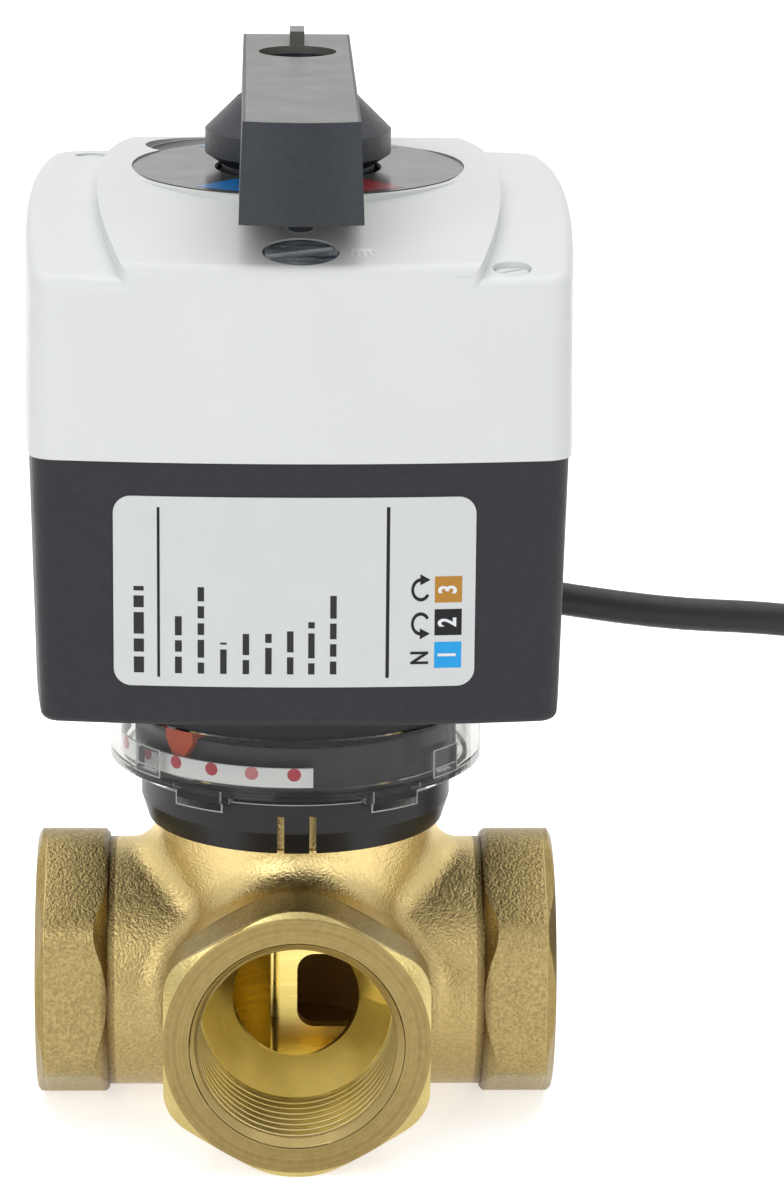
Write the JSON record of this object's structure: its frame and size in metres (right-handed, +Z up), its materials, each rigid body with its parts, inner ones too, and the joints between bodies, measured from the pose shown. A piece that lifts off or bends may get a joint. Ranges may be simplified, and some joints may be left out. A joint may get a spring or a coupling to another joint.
{
  "type": "motorised zone valve",
  "caption": "Motorised three-way zone valve: cast brass rotary mixing body with three threaded ports, clip-on 90 degree actuator with lever handle, dial, position ring and mains cable",
  "frame": {"origin": "bottom centre of the object's box, under the middle of the housing, on the surface that the valve stands on", "axes": "+Z up along the rotor axis, +X to the right-hand port, -Y to the front port"},
  "size_m": [0.1869, 0.1321, 0.1685],
  "materials": {
    "cast_brass": "cast, faces and hexagons turned",
    "rotor_brass": "turned and polished",
    "steel": "zinc plated",
    "bearing_bronze": "sintered bronze",
    "copper_winding": "enamelled copper wire",
    "magnet": "ferrite magnet",
    "cover_white": "moulded, fine satin texture",
    "base_charcoal": "moulded, fine satin texture",
    "handle_grey": "moulded, satin",
    "plate_silver": "printed film plate",
    "dial_dark": "printed film, glossy",
    "selector_black": "moulded",
    "clear_ring": "clear polycarbonate",
    "adapter_black": "moulded, satin",
    "pointer_orange": "moulded",
    "scale_paper": "printed strip",
    "label_paper": "printed film label",
    "gear_acetal": "acetal",
    "cam_black": "acetal",
    "seal_rubber": "EPDM",
    "board_green": "glass epoxy board",
    "terminal_green": "moulded",
    "cable_black": "PVC sheath",
    "core_wire": "PVC insulated cores, tinned ferrules"
  },
  "bodies": {
    "valve": {"valve_body": "cast_brass", "bonnet": "rotor_brass", "bonnet_seal": "seal_rubber", "stem_seals": "seal_rubber", "bonnet_circlip": "steel", "adapter_ring": "adapter_black", "scale_ring": "clear_ring", "scale_band": "scale_paper", "housing_base": "base_charcoal", "housing_cover": "cover_white", "cover_screws": "cover_white", "rating_label": "label_paper", "scale_dial": "dial_dark", "lever_pin": "steel", "motor_coil": "copper_winding", "motor_can": "steel", "motor_screws": "steel", "gear_arbors": "steel", "lower_gear_plate": "steel", "upper_gear_plate": "steel", "plate_pillars": "steel", "plate_screws": "steel", "shaft_bushes": "bearing_bronze", "circuit_board": "board_green", "limit_switches": "cam_black", "terminal_block": "terminal_green", "motor_capacitor": "cam_black", "cable_bush": "adapter_black", "cable_clamp": "adapter_black", "clamp_screws": "steel", "inner_cores": "core_wire", "mains_cable": "cable_black", "cable_coil": "cable_black", "cable_end": "core_wire"},
    "drive": {"valve_rotor": "rotor_brass", "output_shaft": "steel", "output_gear": "gear_acetal", "limit_cams": "cam_black", "pointer": "pointer_orange", "handle": "handle_grey", "handle_top_plate": "plate_silver", "handle_screw": "steel"},
    "second_wheel": {"intermediate_gear_2": "gear_acetal"},
    "first_wheel": {"intermediate_gear_1": "gear_acetal"},
    "motor": {"motor_rotor": "magnet", "motor_pinion": "bearing_bronze"},
    "selector": {"selector_button": "selector_black"},
    "lever": {"clutch_lever": "steel"}
  },
  "joints": [
    {"name": "drive_turn", "type": "hinge", "parent": "valve", "child": "drive", "pos_m": [0, 0.0085, 0.08151], "axis": [0, 0, 1], "range_deg": [-45, 45]},
    {"name": "second_wheel_turn", "type": "hinge", "parent": "valve", "child": "second_wheel", "pos_m": [-0.01987, -0.01137, 0.11351], "axis": [0, 0, 1], "range_deg": [-166, 166]},
    {"name": "first_wheel_turn", "type": "hinge", "parent": "valve", "child": "first_wheel", "pos_m": [-0.00256, -0.0259, 0.11951], "axis": [0, 0, 1], "range_deg": [-455.75, 455.75]},
    {"name": "motor_turn", "type": "hinge", "parent": "valve", "child": "motor", "pos_m": [0.0197, -0.02197, 0.09351], "axis": [0, 0, 1], "range_deg": [-1251.81, 1251.81]},
    {"name": "selector_turn", "type": "hinge", "parent": "valve", "child": "selector", "pos_m": [0, -0.0402, 0.14647], "axis": [0, -0.1673, 0.9859], "range_deg": [0, 90]},
    {"name": "lever_swing", "type": "hinge", "parent": "valve", "child": "lever", "pos_m": [0.02, -0.03717, 0.12861], "axis": [0, 0, 1], "range_deg": [-0.5, 11.46]}
  ],
  "couplings": [
    {"joint": "second_wheel_turn", "follows": "drive_turn", "ratio": -3.6667},
    {"joint": "first_wheel_turn", "follows": "drive_turn", "ratio": 10.083},
    {"joint": "motor_turn", "follows": "drive_turn", "ratio": -27.729},
    {"joint": "lever_swing", "follows": "selector_turn", "ratio": 0.12172}
  ]
}
